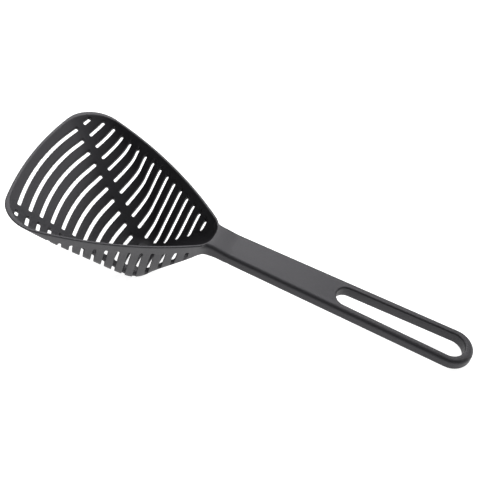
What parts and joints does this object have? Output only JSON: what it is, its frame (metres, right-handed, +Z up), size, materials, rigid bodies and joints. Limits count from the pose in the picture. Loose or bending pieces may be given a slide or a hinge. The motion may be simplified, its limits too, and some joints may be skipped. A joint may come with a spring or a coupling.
{
  "type": "slotted scoop",
  "caption": "Deep slotted scoop with a curved-rib bowl, a flat straight handle and a long slot through the handle to hang it by.",
  "frame": {"origin": "centre of the bounding box at the level of the table that the tool rests on", "axes": "+X along the tool from the lip of the bowl to the handle's end, +Y to its side, +Z up off the table"},
  "size_m": [0.3426, 0.1356, 0.0792],
  "materials": {
    "head_plastic": "fine satin black moulded nylon",
    "grip_plastic": "fine satin black moulded grip"
  },
  "bodies": {
    "root": {"scoop_head": "head_plastic", "handle_grip": "grip_plastic"}
  },
  "joints": []
}
